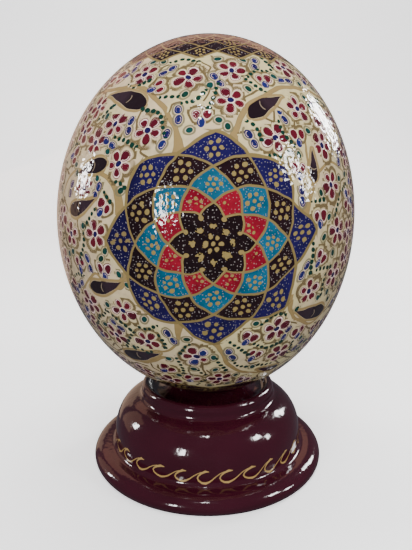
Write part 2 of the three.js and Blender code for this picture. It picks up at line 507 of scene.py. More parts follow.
spot_kind, spot_point, spot_axis, spot_across, spot_seed, spot_curl = [
    np.array(column, dtype=float) for column in zip(*spots)]
spot_long = leaf_shortest + leaf_growth * spot_seed
which = own_spot[painted]
away = corner_points[painted] - spot_point[which]
spot_values[painted, 0] = np.einsum("ij,ij->i", away, spot_axis[which])
spot_values[painted, 1] = np.einsum("ij,ij->i", away, spot_across[which])
back = np.maximum(leaf_curl_start - spot_values[painted, 0] / spot_long[which], 0.0)
spot_values[painted, 1] -= spot_curl[which] * spot_long[which] * back ** 2
spot_values[painted, 2] = spot_kind[which] + spot_seed[which]
corner_attribute(egg_mesh, "spot", spot_values)


def line_values(lines, face_middles, corner_points, corner_face, outward, reach):
    """For every face corner: the way along the nearest line, the way off it to the
    left, and the line's kind. Faces further than `reach` get a way off that is far off."""
    knots = []
    for kind, points in lines:
        along = np.concatenate([[0.0], np.cumsum(np.linalg.norm(np.diff(points, axis=0), axis=1))])
        heading = np.gradient(points, axis=0)
        heading /= np.linalg.norm(heading, axis=1, keepdims=True)
        knots += [(p, h, s, kind) for p, h, s in zip(points, heading, along)]
    tree = KDTree(len(knots))
    for index, knot in enumerate(knots):
        tree.insert(knot[0], index)
    tree.balance()
    nearest = np.full(len(face_middles), -1)
    for face, face_middle in enumerate(face_middles):
        found, index, distance = tree.find(face_middle)
        if distance < reach:
            nearest[face] = index
    own = nearest[corner_face]
    close = own >= 0
    which = own[close]
    knot_point, knot_heading, knot_along, knot_kind = [
        np.array(column)[which] for column in zip(*knots)]
    away = corner_points[close] - knot_point
    left = np.cross(outward[close], knot_heading)
    left /= np.linalg.norm(left, axis=1, keepdims=True)
    values = np.zeros((len(corner_points), 3))
    values[:, 1] = far_off
    values[close, 0] = knot_along + np.einsum("ij,ij->i", away, knot_heading)
    values[close, 1] = np.einsum("ij,ij->i", away, left)
    values[close, 2] = knot_kind
    return values


egg_outward = corner_points / np.array([RADIUS_MM, RADIUS_MM, HALF_LENGTH_MM]) ** 2
corner_attribute(egg_mesh, "line", line_values(
    lines, face_middles, corner_points, corner_face, egg_outward, reach=2.8))

# The shell leans and bows a little, as the natural egg does, and goes to its place.
height = shell_points[:, 2] / HALF_LENGTH_MM
egg_points = shell_points * mm
egg_points[:, 0] += egg_bow * (1 - height ** 2) + egg_tip * (1 + height) / 2
egg_points[:, 2] += egg_centre_z
egg_mesh.vertices.foreach_set("co", egg_points.ravel())
egg_mesh.update()


class Paintbox:
    """Lays paint nodes in one node tree. Numbers and sockets can be mixed freely."""

    def __init__(self, tree):
        self.tree = tree

    def node(self, kind, **settings):
        made = self.tree.nodes.new(kind)
        for name, value in settings.items():
            setattr(made, name, value)
        return made

    def feed(self, socket, value):
        if isinstance(value, bpy.types.NodeSocket):
            self.tree.links.new(value, socket)
        else:
            socket.default_value = value

    def sum(self, operation, *values):
        made = self.node("ShaderNodeMath", operation=operation)
        for socket, value in zip(made.inputs, values):
            self.feed(socket, value)
        return made.outputs[0]

    def add(self, a, b):
        return self.sum("ADD", a, b)

    def less(self, a, b):
        return self.sum("SUBTRACT", a, b)

    def times(self, a, b):
        return self.sum("MULTIPLY", a, b)

    def over(self, a, b):
        return self.sum("DIVIDE", a, b)

    def length(self, x, y):
        return self.sum("SQRT", self.add(self.times(x, x), self.times(y, y)))

    def all(self, *masks):
        joined = masks[0]
        for mask in masks[1:]:
            joined = self.times(joined, mask)
        return joined

    def either(self, *masks):
        joined = masks[0]
        for mask in masks[1:]:
            joined = self.sum("MAXIMUM", joined, mask)
        return joined

    def below(self, value, limit, soft=0.09):
        """1 where the value is under the limit, with a soft painted edge."""
        made = self.node("ShaderNodeMapRange", interpolation_type="SMOOTHSTEP")
        self.feed(made.inputs["Value"], self.less(value, limit))
        self.feed(made.inputs["From Min"], -soft)
        self.feed(made.inputs["From Max"], soft)
        self.feed(made.inputs["To Min"], 1.0)
        self.feed(made.inputs["To Max"], 0.0)
        return made.outputs[0]

    def above(self, value, limit, soft=0.09):
        return self.less(1.0, self.below(value, limit, soft))

    def between(self, value, low, high, soft=0.09):
        return self.all(self.above(value, low, soft), self.below(value, high, soft))

    def split(self, vector):
        made = self.node("ShaderNodeSeparateXYZ")
        self.feed(made.inputs[0], vector)
        return made.outputs[0], made.outputs[1], made.outputs[2]

    def join(self, x, y, z=0.0):
        made = self.node("ShaderNodeCombineXYZ")
        for socket, value in zip(made.inputs, (x, y, z)):
            self.feed(socket, value)
        return made.outputs[0]

    def noise(self, vector, scale, detail=2.0):
        made = self.node("ShaderNodeTexNoise")
        self.feed(made.inputs["Vector"], vector)
        self.feed(made.inputs["Scale"], scale)
        self.feed(made.inputs["Detail"], detail)
        return made.outputs[0], made.outputs[1]

    def chance(self, vector):
        """One random value and one random colour for each different vector."""
        made = self.node("ShaderNodeTexWhiteNoise", noise_dimensions="3D")
        self.feed(made.inputs["Vector"], vector)
        return made.outputs[0], made.outputs[1]

    def layer(self, under, paint, mask):
        made = self.node("ShaderNodeMix", data_type="RGBA")
        self.feed(made.inputs[0], mask)
        self.feed(made.inputs[6], under)
        self.feed(made.inputs[7], paint)
        return made.outputs[2]

    def layer_value(self, under, value, mask):
        return self.add(self.times(under, self.less(1.0, mask)), self.times(value, mask))

    def attribute(self, name):
        made = self.node("ShaderNodeAttribute", attribute_name=name)
        return made.outputs["Vector"]

    def bump(self, height, strength, distance):
        made = self.node("ShaderNodeBump")
        for label, value in (("Height", height), ("Strength", strength), ("Distance", distance)):
            self.feed(made.inputs[label], value)
        return made.outputs[0]

    def turned(self, reach, angle):
        """How far a reach goes along a direction and across it, from the angle between."""
        return self.times(reach, self.sum("COSINE", angle)), self.times(reach, self.sum("SINE", angle))

    def oval(self, x, y, half_x, half_y):
        """Distance in mm, roughly, outside the edge of an oval; negative inside it."""
        reach = self.length(self.over(x, half_x), self.over(y, half_y))
        return self.times(self.less(reach, 1.0), (half_x + half_y) / 2)


def paint_group(name, inputs, outputs):
    """An empty node group with named sockets, its paintbox and its two end nodes."""
    group = bpy.data.node_groups.new(name, "ShaderNodeTree")
    for label, kind in inputs:
        group.interface.new_socket(label, in_out="INPUT", socket_type=kind)
    for label, kind in outputs:
        group.interface.new_socket(label, in_out="OUTPUT", socket_type=kind)
    box = Paintbox(group)
    return group, box, box.node("NodeGroupInput").outputs, box.node("NodeGroupOutput").inputs


def motif_group(name):
    """A node group for one motif, with the place in it in mm and the motif's seed."""
    group, box, given, result = paint_group(
        name, [("Place", VECTOR), ("Seed", VALUE)], [("Color", COLOUR), ("Mask", VALUE)])
    x, y, flat = box.split(given["Place"])
    return group, box, x, y, given["Seed"], result


VALUE, VECTOR, COLOUR = "NodeSocketFloat", "NodeSocketVector", "NodeSocketColor"
gold = (0.225, 0.16, 0.054, 1.0)
gold_line_paint = (0.18, 0.128, 0.047, 1.0)
gold_dark = (0.13, 0.092, 0.044, 1.0)
vine_tan = (0.255, 0.172, 0.067, 1.0)
khaki = (0.115, 0.08, 0.035, 1.0)
maroon = (0.1, 0.006, 0.0135, 1.0)
maroon_dark = (0.04, 0.0032, 0.0093, 1.0)
petal_white = (0.9, 0.66, 0.6, 1.0)
grey_green = (0.17, 0.14, 0.07, 1.0)
ink_blue = (0.009, 0.006, 0.05, 1.0)
bright_blue = (0.011, 0.015, 0.095, 1.0)
berry_green = (0.005, 0.045, 0.042, 1.0)
dot_green = (0.0035, 0.028, 0.018, 1.0)
leaf_brown = (0.024, 0.012, 0.0175, 1.0)
leaf_black = (0.0104, 0.005, 0.0071, 1.0)
vein_tan = (0.2, 0.15, 0.1, 1.0)
speck_pale = (0.3, 0.27, 0.25, 1.0)


def medallion_group():
    """Intersecting gold arcs that part the medallion into rings of kite-shaped fields.
    Place is in mm from the centre, Tip Radius in mm; each field holds a ring of gold
    dots among fine specks. Ring 1 is the outermost and ring 5 the star in the middle.
    Bare Share is the share of fields that are left without dots."""
    group, box, given, result = paint_group(
        "gold arc medallion",
        [("Place", VECTOR), ("Tip Radius", VALUE), ("Petals", VALUE), ("Ring Step", VALUE),
         ("Bare Share", VALUE), ("Ring 1", COLOUR), ("Ring 2", COLOUR), ("Ring 3", COLOUR),
         ("Ring 4", COLOUR), ("Star", COLOUR)],
        [("Color", COLOUR), ("Mask", VALUE)])
    line_half, border_half = 0.43, 0.72
    star_step, star_line_half, star_rim_in, star_dots_end = 0.107, 0.4, 0.11, 4.2
    blob_ring, blob_radius, club_in, club_radius = 5.7, 1.0, 0.129, 0.85
    dot_ring, dot_least, dot_growth, middle_dot = 2.8, 0.72, 0.3, 0.82
    speck_scale, speck_spread, speck_least, speck_growth = 0.85, 1.18, 0.07, 0.17
    widest_turn = 6.28
    darker_from, darker_fade = -25.0, 5.0
    ring_step, bare_share, radius_mm = given["Ring Step"], given["Bare Share"], given["Tip Radius"]
    x, y, flat = box.split(given["Place"])
    distance = box.length(x, y)
    reach = box.over(distance, radius_mm)
    angle = box.sum("ARCTAN2", y, x)
    petal_angle = box.over(2 * math.pi, given["Petals"])
    rings_in = box.over(box.less(1.0, reach), ring_step)
    star_reach = box.less(1.0, box.times(ring_step, 4.0))
    past_star = box.sum("MAXIMUM", box.less(star_reach, reach), 0.0)
    rings_in = box.add(rings_in, box.times(past_star, box.less(1 / star_step, box.over(1.0, ring_step))))
    turn = box.over(angle, petal_angle)
    left_arc = box.add(turn, box.times(rings_in, 0.5))
    right_arc = box.less(turn, box.times(rings_in, 0.5))
    left_index = box.sum("FLOOR", left_arc)
    right_index = box.sum("FLOOR", right_arc)
    ring = box.less(left_index, right_index)

    # How far a point is from the nearest arc of each family, square to the arc.
    slope = box.over(box.all(radius_mm, ring_step, 2.0), petal_angle)
    squareness = box.over(slope, box.length(slope, distance))
    arc_distances = []
    for arc in (left_arc, right_arc):
        off = box.sum("ABSOLUTE", box.less(arc, box.sum("ROUND", arc)))
        arc_distances.append(box.all(off, petal_angle, distance, squareness))
    to_arc = box.sum("MINIMUM", *arc_distances)
    inside = box.above(ring, 0.5, 0.01)
    in_star = box.above(ring, 4.5, 0.01)
    star_less = box.less(1.0, in_star)
    border = box.below(to_arc, border_half)
    line = box.all(box.below(to_arc, box.less(line_half, box.times(bare_share, 0.3))), star_less)
    outside_edge = box.all(box.less(1.0, inside), border, box.above(rings_in, -0.1, 0.05))

    # The field's own middle, and the point's place in the field.
    middle_turn = box.times(box.add(box.add(left_index, right_index), 1.0), 0.5)
    middle_angle = box.times(middle_turn, petal_angle)
    middle_reach = box.less(1.0, box.times(ring, ring_step))
    off_angle = box.less(angle, middle_angle)
    way_out, way_across = box.turned(reach, off_angle)
    field_x = box.times(way_across, radius_mm)
    field_y = box.times(box.less(way_out, middle_reach), radius_mm)
    field_x = box.add(box.times(field_x, star_less), box.times(x, in_star))
    field_y = box.add(box.times(field_y, star_less), box.times(y, in_star))
    field_key = box.join(box.times(middle_turn, star_less), box.times(ring, star_less), 3.7)
    field_chance = box.chance(field_key)[0]

    # Seven gold dots: one in the middle and six round it, smaller in the inner rings.
    red_ring = box.between(ring, 3.5, 4.5, 0.01)
    small = box.add(1.0, box.times(box.between(ring, 2.5, 3.5, 0.01), -0.16))
    small = box.less(small, box.times(red_ring, 0.36))
    narrow = box.over(8.0, given["Petals"])
    small = box.times(small, box.sum("POWER", narrow, 0.6))
    dot_x, dot_y = box.over(field_x, small), box.over(field_y, small)
    dot_reach = box.length(dot_x, dot_y)
    dot_angle = box.add(box.sum("ARCTAN2", dot_y, dot_x), box.times(field_chance, widest_turn))
    sector = box.sum("ROUND", box.over(dot_angle, math.pi / 3))
    off_sector = box.less(dot_angle, box.times(sector, math.pi / 3))
    dot_chance = box.chance(box.join(sector, middle_turn, ring))[0]
    dot_spacing = box.add(dot_ring, box.less(dot_chance, 0.5))
    dot_out, dot_across = box.turned(dot_reach, off_sector)
    ring_dot = box.length(box.less(dot_out, dot_spacing), dot_across)
    dot_size = box.add(dot_least, box.times(dot_chance, dot_growth))
    kept = box.either(box.less(1.0, red_ring), box.above(dot_chance, 0.5, 0.01))
    dots = box.either(box.below(ring_dot, dot_size), box.below(dot_reach, middle_dot))
    dots = box.all(dots, kept, box.above(field_chance, bare_share, 0.01))

    # The star's ring of loose gold blobs, and the club that ends each arc at a notch.
    blob_way_out = box.add(blob_ring, box.times(bare_share, 14.0))
    blob_index = box.sum("ROUND", turn)
    blob_off = box.times(box.less(turn, blob_index), petal_angle)
    blob_chance = box.chance(box.join(blob_index, 9.1, 2.2))[0]
    ragged = box.noise(box.join(x, y, 4.0), 0.9, 1.0)[0]
    blob_out, blob_across = box.turned(distance, blob_off)
    blob_out = box.times(box.less(blob_out, box.add(blob_way_out, blob_chance)), 0.85)
    blob = box.add(box.length(blob_out, blob_across), box.times(box.less(ragged, 0.5), 2.6))
    blobs = box.all(box.below(blob, box.less(blob_radius, box.times(bare_share, 0.3))), in_star)
    notch_turn = box.less(turn, 0.5)
    notch_off = box.times(box.less(notch_turn, box.sum("ROUND", notch_turn)), petal_angle)
    notch_out, notch_across = box.turned(distance, notch_off)
    notch_out = box.less(notch_out, box.times(radius_mm, box.less(star_reach, club_in)))
    clubs = box.below(box.length(notch_out, notch_across), club_radius)
    rim_start = box.times(radius_mm, box.less(star_reach, star_rim_in))
    star_rim = box.all(in_star, box.below(to_arc, star_line_half), box.above(distance, rim_start, 0.1))
    dots = box.all(dots, box.either(star_less, box.below(distance, star_dots_end)))

    # Fine specks between the dots.
    cells = box.node("ShaderNodeTexVoronoi", voronoi_dimensions="2D", feature="F1")
    box.feed(cells.inputs["Vector"], given["Place"])
    box.feed(cells.inputs["Scale"], speck_scale)
    speck_distance = box.times(cells.outputs["Distance"], speck_spread)
    speck_chance = box.split(cells.outputs["Color"])[0]
    speck_size = box.add(speck_least, box.times(speck_chance, speck_growth))
    specks = box.all(box.below(speck_distance, speck_size, 0.06), box.above(speck_chance, 0.25, 0.02),
                     box.above(dot_reach, 2.3, 0.8), box.above(to_arc, 0.7, 0.2))

    # The field colours, each a little uneven, as the brush left them, and darker towards the left.
    colour = given["Star"]
    for number in (4, 3, 2, 1):
        in_ring = box.between(ring, number - 0.5, number + 0.5, 0.01)
        colour = box.layer(colour, given[f"Ring {number}"], in_ring)
    cloud = box.noise(given["Place"], 0.22, 3.0)[0]
    # The fields and the gold dots turn darker towards the medallion's own left (-x) side.
    left_darkening = box.below(x, darker_from, darker_fade)
    brushed = box.times(box.add(0.3, box.times(cloud, 1.4)), box.less(1.0, box.times(left_darkening, 0.42)))
    colour_value = box.node("ShaderNodeHueSaturation")
    box.feed(colour_value.inputs["Color"], colour)
    box.feed(colour_value.inputs["Value"], brushed)
    colour = colour_value.outputs[0]
    colour = box.layer(colour, box.layer(colour, speck_pale, 0.62), specks)
    gold_marks = box.either(dots, blobs, clubs, star_rim)
    colour = box.layer(colour, box.layer(gold, gold_dark, box.times(left_darkening, 0.5)), gold_marks)
    gold_lines = box.either(line, outside_edge)
    colour = box.layer(colour, gold_line_paint, gold_lines)
    box.feed(result["Color"], colour)
    box.feed(result["Mask"], box.either(inside, outside_edge))
    return group


def petal(box, x, y, seed_vector):
    """Where the paint of one petal falls, round its own middle: the way off its edge, its
    fill, white rim, shadow and glint, and how dark it is."""
    chance, colour = box.chance(seed_vector)
    tone, gate_x, gate_y = box.split(colour)
    size = box.add(0.9, box.times(chance, 0.42))
    taper = box.add(0.95, box.times(x, 0.12))
    edge = box.oval(box.over(x, size), box.over(box.over(y, size), taper), half_x=1.85, half_y=1.5)
    side = box.add(box.times(x, box.less(gate_x, 0.5)), box.times(y, box.less(gate_y, 0.5)))
    fill = box.below(edge, 0.0)
    inward = box.times(box.above(gate_x, 0.62, 0.01), -0.42)
    white = box.all(box.between(box.less(edge, inward), 0.0, 0.18, 0.06), box.above(side, -0.5, 0.2))
    shadow = box.all(box.between(edge, -0.28, 0.02), box.below(side, -0.3, 0.2))
    glint = box.all(box.between(edge, -0.62, -0.38, 0.07), box.above(side, 0.32, 0.1),
                    box.above(tone, 0.45, 0.02))
    return edge, fill, white, shadow, glint, tone


def flower_group():
    """A five-petalled flower with a blue eye, ringed by a loose khaki outline."""
    group, box, x, y, seed, result = motif_group("small flower")
    petals, petal_way_out = 5, 2.85
    eye_radius, eye_ring_start, eye_ring_end = 1.12, 1.1, 1.42
    halo_width = 1.25
    reach = box.length(x, y)
    angle = box.sum("ARCTAN2", y, x)
    index = box.sum("ROUND", box.over(angle, 2 * math.pi / petals))
    off = box.less(angle, box.times(index, 2 * math.pi / petals))
    index = box.sum("FLOORED_MODULO", index, float(petals))
    key = box.join(index, seed, 1.3)
    way_out, petal_y = box.turned(reach, off)
    petal_x = box.less(way_out, box.add(petal_way_out, box.times(box.chance(key)[0], 0.6)))
    edge, fill, white, shadow, glint, tone = petal(box, petal_x, petal_y, key)
    paint = box.layer(maroon, maroon_dark, box.times(tone, 0.75))
    every_other = box.above(box.sum("FLOORED_MODULO", index, 2.0), 0.5, 0.1)
    blue_petal = box.all(box.above(seed, 0.86, 0.01), every_other)
    paint = box.layer(paint, bright_blue, blue_petal)
    paint = box.layer(paint, maroon_dark, shadow)
    paint = box.layer(paint, petal_white, box.either(white, glint))
    gaps = box.noise(box.join(x, y, box.times(seed, 90.0)), 0.22, 0.5)[0]
    loose = box.add(0.45, box.times(gaps, 0.4))
    halo = box.all(box.between(edge, loose, box.add(loose, halo_width), 0.2), box.above(reach, 2.4, 0.2),
                   box.above(gaps, 0.28, 0.08))
    paint = box.layer(paint, khaki, box.above(edge, 0.36, 0.08))
    eye = box.below(reach, eye_radius)
    lit_side = box.above(box.add(x, box.times(y, 0.6)), -0.7, 0.2)
    ring = box.all(box.between(reach, eye_ring_start, eye_ring_end), lit_side)
    paint = box.layer(paint, ink_blue, eye)
    paint = box.layer(paint, petal_white, ring)
    box.feed(result["Color"], paint)
    box.feed(result["Mask"], box.either(fill, white, halo, eye, ring))
    return group


def bud_marks(box, x, y, seed_vector, half_x=1.75, half_y=1.3):
    """One oval bud: where its fill, white crescent, pale ring and outline fall, and how
    far its colour leans to the second of its two paints."""
    chance = box.chance(seed_vector)[0]
    edge = box.oval(x, y, half_x, half_y)
    side = box.add(box.times(x, 0.4), box.times(y, box.sum("SIGN", box.less(chance, 0.5))))
    fill = box.below(edge, 0.0)
    crescent = box.all(box.between(edge, -0.66, -0.5, 0.07), box.above(side, 0.25, 0.2), 0.8)
    ring = box.all(box.between(edge, 0.05, 0.2, 0.07), box.below(side, -0.1, 0.3), 0.75)
    outline = box.times(box.between(edge, 0.25, 0.95, 0.14), 0.95)
    return fill, crescent, ring, outline, chance


def half_flower_group():
    """Two petals side by side on a blue bud, under one khaki outline."""
    group, box, x, y, seed, result = motif_group("half flower")
    side = box.sum("SIGN", y)
    petal_middle, bud_middle = (1.2, 1.75), -1.75
    petal_x = box.less(x, petal_middle[0])
    petal_y = box.less(box.sum("ABSOLUTE", y), petal_middle[1])
    edge, fill, white, shadow, glint, tone = petal(box, petal_x, petal_y, box.join(side, seed, 5.1))
    paint = box.layer(maroon, maroon_dark, box.times(tone, 0.75))
    paint = box.layer(paint, maroon_dark, shadow)
    paint = box.layer(paint, petal_white, box.either(white, glint))
    halo = box.all(box.between(edge, 0.6, 1.75, 0.2), box.above(x, -2.6, 0.4))
    paint = box.layer(paint, khaki, box.above(edge, 0.36, 0.08))
    bud_x = box.less(x, bud_middle)
    bud, crescent, ring, outline, chance = bud_marks(box, bud_x, y, box.join(seed, 2.0, 8.0))
    paint = box.layer(paint, bright_blue, bud)
    paint = box.layer(paint, petal_white, box.either(crescent, ring))
    box.feed(result["Color"], paint)
    box.feed(result["Mask"], box.either(fill, white, halo, bud, crescent, ring))
    return group


def buds_group():
    """Two blue buds end to end, each with a white crescent and a grey-green outline."""
    group, box, x, y, seed, result = motif_group("pair of buds")
    side = box.sum("SIGN", x)
    bud_middle = 1.95
    bud_x = box.less(box.sum("ABSOLUTE", x), bud_middle)
    fill, crescent, ring, outline, chance = bud_marks(box, bud_x, y, box.join(side, seed, 3.0))
    paint = box.layer(ink_blue, bright_blue, chance)
    paint = box.layer(paint, grey_green, outline)
    paint = box.layer(paint, petal_white, box.either(crescent, ring))
    box.feed(result["Color"], paint)
    box.feed(result["Mask"], box.either(fill, crescent, ring, outline))
    return group


def berry_group():
    """One dark green berry in a white ring."""
    group, box, x, y, seed, result = motif_group("berry")
    fill, crescent, ring, outline, chance = bud_marks(
        box, x, y, box.join(seed, 6.0, 4.0), half_x=1.3, half_y=1.05)
    paint = box.layer(berry_green, dot_green, chance)
    paint = box.layer(paint, grey_green, outline)
    paint = box.layer(paint, petal_white, ring)
    box.feed(result["Color"], paint)
    box.feed(result["Mask"], box.either(fill, ring, outline))
    return group


def leaf_group():
    """A dark leaf, pointed at one end and round at the other, with a gold outline and
    one short gold vein. The seed gives its length."""
    group, box, x, y, seed, result = motif_group("leaf")
    slimness, sharpness, bluntness = 0.28, 1.2, 0.5
    half_length = box.add(leaf_shortest, box.times(seed, leaf_growth))
    along = box.sum("MINIMUM", box.sum("MAXIMUM", box.over(x, half_length), -1.0), 1.0)
    fullness = box.times(box.sum("POWER", box.add(1.0, along), sharpness),
                         box.sum("POWER", box.less(1.0, along), bluntness))
    half_width = box.all(half_length, slimness, fullness)
    edge = box.times(box.less(box.sum("ABSOLUTE", y), half_width), 0.85)
    fill = box.below(edge, 0.0)
    past_end = box.sum("MAXIMUM", box.less(box.sum("ABSOLUTE", x), half_length), 0.0)
    edge = box.length(box.sum("MAXIMUM", edge, 0.0), past_end)
    edge = box.add(edge, box.times(box.less(fill, 1.0), 0.02))
    outline = box.all(box.between(edge, 0.08, 0.95), box.less(1.0, fill))
    vein_x = box.add(box.less(x, box.times(half_length, 0.25)), box.times(box.times(y, y), 0.25))
    vein = box.all(box.below(box.sum("ABSOLUTE", vein_x), 0.2), box.between(y, -1.9, 1.5, 0.2))
    paint = box.layer(leaf_brown, leaf_black, box.above(x, box.times(half_length, 0.1), 2.0))
    paint = box.layer(paint, vine_tan, outline)
    paint = box.layer(paint, vein_tan, vein)
    box.feed(result["Color"], paint)
    box.feed(result["Mask"], box.either(fill, outline))
    return group


def line_group():
    """A gold vine that thins towards its tip and swells at its foot, or a thin curl, and
    apart from them the strings of green dots, which are laid over the flowers."""
    group, box, given, result = paint_group(
        "vine or string of dots", [("Line", VECTOR), ("Foot", VALUE)],
        [("Color", COLOUR), ("Mask", VALUE), ("Dots", VALUE)])
    tip_half, half_per_mm, foot_half, curl_half = 0.42, 0.012, 1.3, 0.4
    dot_least, dot_growth = 0.74, 0.06
    along, off, kind = box.split(given["Line"])
    off = box.sum("ABSOLUTE", off)
    half_width = box.add(tip_half, box.times(box.sum("MINIMUM", along, 40.0), half_per_mm))
    half_width = box.add(half_width, box.times(given["Foot"], foot_half))
    is_curl = box.above(kind, 2.5, 0.01)
    half_width = box.layer_value(half_width, curl_half, is_curl)
    vine = box.all(box.below(off, half_width), box.either(box.below(kind, 1.5, 0.01), is_curl))
    vine_edge = box.above(off, box.less(half_width, 0.2), 0.08)
    spacing = 2.1
    dot_index = box.sum("FLOOR", box.over(along, spacing))
    in_dot = box.less(box.sum("FLOORED_MODULO", along, spacing), spacing / 2)
    dot_size = box.add(dot_least, box.times(box.sum("MINIMUM", dot_index, 5.0), dot_growth))
    dots = box.all(box.below(box.length(in_dot, off), dot_size), box.between(kind, 1.5, 2.5, 0.01))
    paint = box.layer(vine_tan, gold_dark, box.times(vine_edge, 0.6))
    paint = box.layer(paint, khaki, is_curl)
    box.feed(result["Color"], paint)
    box.feed(result["Mask"], vine)
    box.feed(result["Dots"], dots)
    return group


shell_paint, shell_shader = coat(egg_mesh, "painted and varnished eggshell")
shell = Paintbox(shell_paint.node_tree)
shell_place = shell.node("ShaderNodeTexCoord").outputs["Object"]

# The cream ground is brushed on unevenly, pinker in places and yellower in others, and darker in
# small mottled patches. Towards its left and right sides it is darkened with painted shade.
patches = shell.noise(shell_place, 60.0, 3.0)[0]
mottle = shell.noise(shell_place, 320.0, 3.0)[0]
cream = (0.55, 0.455, 0.228, 1.0)
pink_cream = (0.56, 0.43, 0.27, 1.0)
# A darker cream, used both for the mottled wear and for the painted shade on the sides.
worn_and_shaded_cream = (0.36, 0.28, 0.17, 1.0)
shell_x = shell.split(shell_place)[0]
pinker_side = shell.times(shell_x, -2.0)
ground = shell.layer(cream, pink_cream, shell.above(shell.add(patches, pinker_side), 0.54, 0.15))
# Painted shade: the cream turns to the darker cream on the left and right sides of the shell.
side_shade_from, side_shade_fade = 43 * mm, 14 * mm
painted_side_shade = shell.above(shell.sum("ABSOLUTE", shell_x), side_shade_from, side_shade_fade)
wear_and_side_shade = shell.add(shell.times(shell.above(mottle, 0.55, 0.15), 0.4), shell.times(painted_side_shade, 0.65))
ground = shell.layer(ground, worn_and_shaded_cream, wear_and_side_shade)


def unsteady(scale, detail, span):
    """A slow random shift of up to half the span, in mm, either way."""
    made = shell.node("ShaderNodeVectorMath", operation="MULTIPLY_ADD")
    shell.feed(made.inputs[0], shell.noise(shell_place, scale, detail)[1])
    made.inputs[1].default_value = (span, span, 0.0)
    made.inputs[2].default_value = (-span / 2, -span / 2, 0.0)
    return made.outputs[0]


def moved(vector, shift):
    made = shell.node("ShaderNodeVectorMath", operation="ADD")
    shell.feed(made.inputs[0], vector)
    shell.feed(made.inputs[1], shift)
    return made.outputs[0]


# A hand is never quite steady: every outline is moved by a fraction of a millimetre, and
# the medallion's arcs wander by a little more.
shake = unsteady(230.0, 0.3, 1.1)
wander = unsteady(55.0, 1.0, 3.4)


def use_group(group, **inputs):
    made = shell.node("ShaderNodeGroup", node_tree=group)
    for name, value in inputs.items():
        shell.feed(made.inputs[name.replace("_", " ")], value)
    return made


painting = ground
in_medallion_x, in_medallion_y, petal_count = shell.split(shell.attribute("medallion"))
vine_foot = shell.below(shell.length(in_medallion_x, in_medallion_y), 0.97, 0.13)
vines = use_group(line_group(), Line=moved(shell.attribute("line"), shake), Foot=vine_foot)
painting = shell.layer(painting, vines.outputs["Color"], vines.outputs["Mask"])
spot = shell.attribute("spot")
spot_code = shell.split(spot)[2]
spot_kind_value = shell.sum("FLOOR", spot_code)
spot_seed_value = shell.sum("FRACT", spot_code)
for kind, group in ((FLOWER, flower_group()), (HALF_FLOWER, half_flower_group()), (BUDS, buds_group()),
                    (BERRY, berry_group()), (LEAF, leaf_group())):
    motif = use_group(group, Place=moved(spot, shake), Seed=spot_seed_value)
    is_kind = shell.sum("COMPARE", spot_kind_value, float(kind), 0.4)
    painting = shell.layer(painting, motif.outputs["Color"], shell.times(motif.outputs["Mask"], is_kind))
painting = shell.layer(painting, dot_green, vines.outputs["Dots"])

medallion_tip_mm = 39.5
medallion_blue = (0.0085, 0.005, 0.052, 1.0)
medallion_brown = (0.011, 0.0036, 0.0052, 1.0)
medallion_turquoise = (0.006, 0.076, 0.13, 1.0)
medallion_red = (0.185, 0.0045, 0.0145, 1.0)
star_brown = (0.008, 0.003, 0.0036, 1.0)
cap_brown = (0.016, 0.0045, 0.0055, 1.0)
front_ring_step, cap_ring_step_less = 0.157, 0.06
cap_bare_share = 0.4
in_medallion = shell.node("ShaderNodeVectorMath", operation="SCALE")
shell.feed(in_medallion.inputs[0], shell.attribute("medallion"))
in_medallion.inputs["Scale"].default_value = medallion_tip_mm
medallion_place = moved(moved(in_medallion.outputs[0], wander), shake)
is_cap = shell.below(petal_count, 0.0, 0.1)
medallion_paint = use_group(
    medallion_group(), Place=medallion_place, Tip_Radius=medallion_tip_mm,
    Petals=shell.sum("ABSOLUTE", petal_count),
    Ring_Step=shell.less(front_ring_step, shell.times(is_cap, cap_ring_step_less)),
    Bare_Share=shell.times(is_cap, cap_bare_share),
    Ring_1=shell.layer(medallion_blue, medallion_brown, is_cap),
    Ring_2=medallion_brown,
    Ring_3=shell.layer(medallion_turquoise, cap_brown, is_cap),
    Ring_4=shell.layer(medallion_red, medallion_brown, is_cap),
    Star=star_brown)
painting = shell.layer(painting, medallion_paint.outputs["Color"], medallion_paint.outputs["Mask"])

shell.feed(shell_shader.inputs["Base Color"], painting)
shell_shader.inputs["Roughness"].default_value = 0.06
brushwork = shell.noise(shell_place, 560.0, 0.6)[0]
shell.feed(shell_shader.inputs["Normal"], shell.bump(brushwork, 1.0, 0.22 * mm))

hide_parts("egg")
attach(painted_egg, "root")


# ----------------------------------------------------------------------------- the stand
# One piece of turned hardwood: a round flange, a domed body and a bead for a lip, round a
# shallow dish with the egg's seat. It is coated in maroon gloss lacquer, and a running
# scroll is drawn round the foot of the dome with a fine gold brush.

flange_radius = 52.5 * mm
flange_edge_z = 2.8 * mm
flange_edge_width = 6.0 * mm
flange_edge_height = 4.4 * mm
cove_radius = 2.0 * mm
dome_radius = 42.8 * mm
dome_z = 10.8 * mm
dome_top_radius = 27.2 * mm
dome_top_z = 29.6 * mm
dome_fullness = 0.86
lip_outer_radius = 30.3 * mm
lip_inner_radius = 26.1 * mm
lip_top_z = 35.4 * mm
lip_half_height = 2.9 * mm
groove_depth = 0.5 * mm
dish_floor_radius = 23.6 * mm
dish_floor_z = 32.3 * mm
seat_radius = 13.2 * mm
seat_gap = 0.35 * mm
turning_steps = 288


def turned_arc(centre_radius, centre_z, width, height, start, end, steps):
    """Points of an elliptical arc in the plane of the turning tool, angles in degrees."""
    arc = []
    for i in range(steps + 1):
        angle = math.radians(start + (end - start) * i / steps)
        arc.append((centre_radius + width * math.cos(angle), centre_z + height * math.sin(angle)))
    return arc


def seat_z(radius):
    return egg_centre_z - egg_half_length * math.sqrt(1 - (radius / egg_radius) ** 2) - seat_gap


